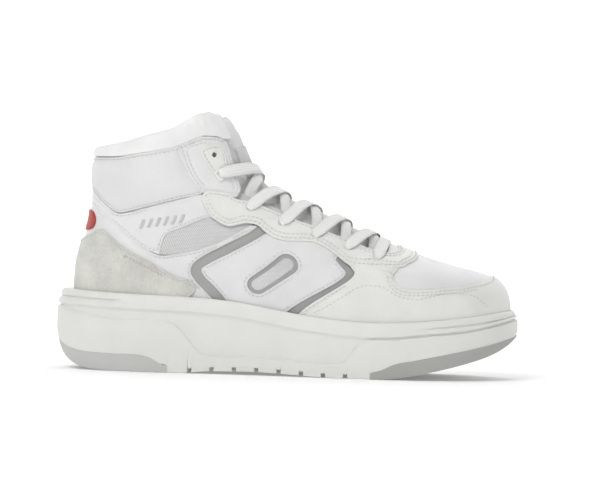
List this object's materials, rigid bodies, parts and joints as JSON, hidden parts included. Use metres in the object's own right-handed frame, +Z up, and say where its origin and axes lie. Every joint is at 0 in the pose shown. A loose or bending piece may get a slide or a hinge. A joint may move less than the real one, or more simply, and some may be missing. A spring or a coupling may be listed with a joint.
{
  "type": "basketball high top shoe",
  "caption": "High-top basketball shoe with padded ankle collar, laced eyestays, hinged tongue and rubber cupsole.",
  "frame": {"origin": "middle of the sole's footprint, on the ground", "axes": "+X towards the toe, +Y towards the inner (medial) side of this right shoe, +Z up"},
  "size_m": [0.3005, 0.1094, 0.1675],
  "materials": {
    "badge_red": "matt moulded",
    "board": "stiff felt board",
    "collar_textile": "soft white lining leather over foam",
    "foam": "open-cell foam",
    "lace_textile": "flat woven",
    "leather_cool": "smooth coated white leather",
    "leather_tumbled": "tumbled white leather",
    "leather_warm": "smooth coated white leather",
    "lining_textile": "knitted lining",
    "mesh_textile": "open light grey mesh",
    "midsole_rubber": "matt white moulded",
    "outsole_dark": "matt grey moulded",
    "outsole_light": "matt light grey moulded",
    "sockliner": "knit over foam",
    "suede": "light grey nubuck",
    "tongue_textile": "white padded textile",
    "underlay_grey": "grey coated leather",
    "webbing": "woven webbing"
  },
  "bodies": {
    "shoe": {"ankle_band_lateral": "leather_cool", "ankle_band_medial": "leather_cool", "ankle_flap_lateral": "leather_cool", "ankle_flap_medial": "leather_cool", "ankle_lining_lateral": "lining_textile", "ankle_lining_medial": "lining_textile", "collar_foam_lateral": "foam", "collar_foam_medial": "foam", "collar_panel_lateral": "leather_tumbled", "collar_panel_medial": "leather_tumbled", "collar_roll": "collar_textile", "eyelet_patch_lateral": "leather_warm", "eyelet_patch_medial": "leather_warm", "eyestay_front": "leather_warm", "eyestay_lateral": "leather_warm", "eyestay_medial": "leather_warm", "heel_badge": "badge_red", "heel_counter": "board", "heel_overlay": "suede", "heel_tab": "leather_cool", "lace": "lace_textile", "mesh_insert_lateral": "mesh_textile", "mesh_insert_medial": "mesh_textile", "midsole_cup": "midsole_rubber", "midsole_foam_core": "foam", "mudguard": "leather_warm", "outsole_heel_pad": "outsole_light", "outsole_toe_pad": "outsole_dark", "quarter_centre_lateral": "leather_cool", "quarter_centre_medial": "leather_cool", "quarter_lining_lateral": "lining_textile", "quarter_lining_medial": "lining_textile", "quarter_rear_lateral": "leather_cool", "quarter_rear_medial": "leather_cool", "side_underlay_lateral": "underlay_grey", "side_underlay_medial": "underlay_grey", "sockliner": "sockliner", "strobel_board": "board", "toe_lining": "lining_textile", "toe_puff": "board", "vamp": "leather_cool"},
    "tongue": {"tongue_face": "tongue_textile", "tongue_foam": "foam", "tongue_label": "webbing", "tongue_lining": "lining_textile"}
  },
  "joints": [
    {"name": "tongue_hinge", "type": "hinge", "parent": "shoe", "child": "tongue", "pos_m": [0.0765, 0, 0.0755], "axis": [0, -1, 0], "range_deg": [0, 8], "stiffness_Nm_per_rad": 0.3, "springref_deg": -8.59}
  ]
}
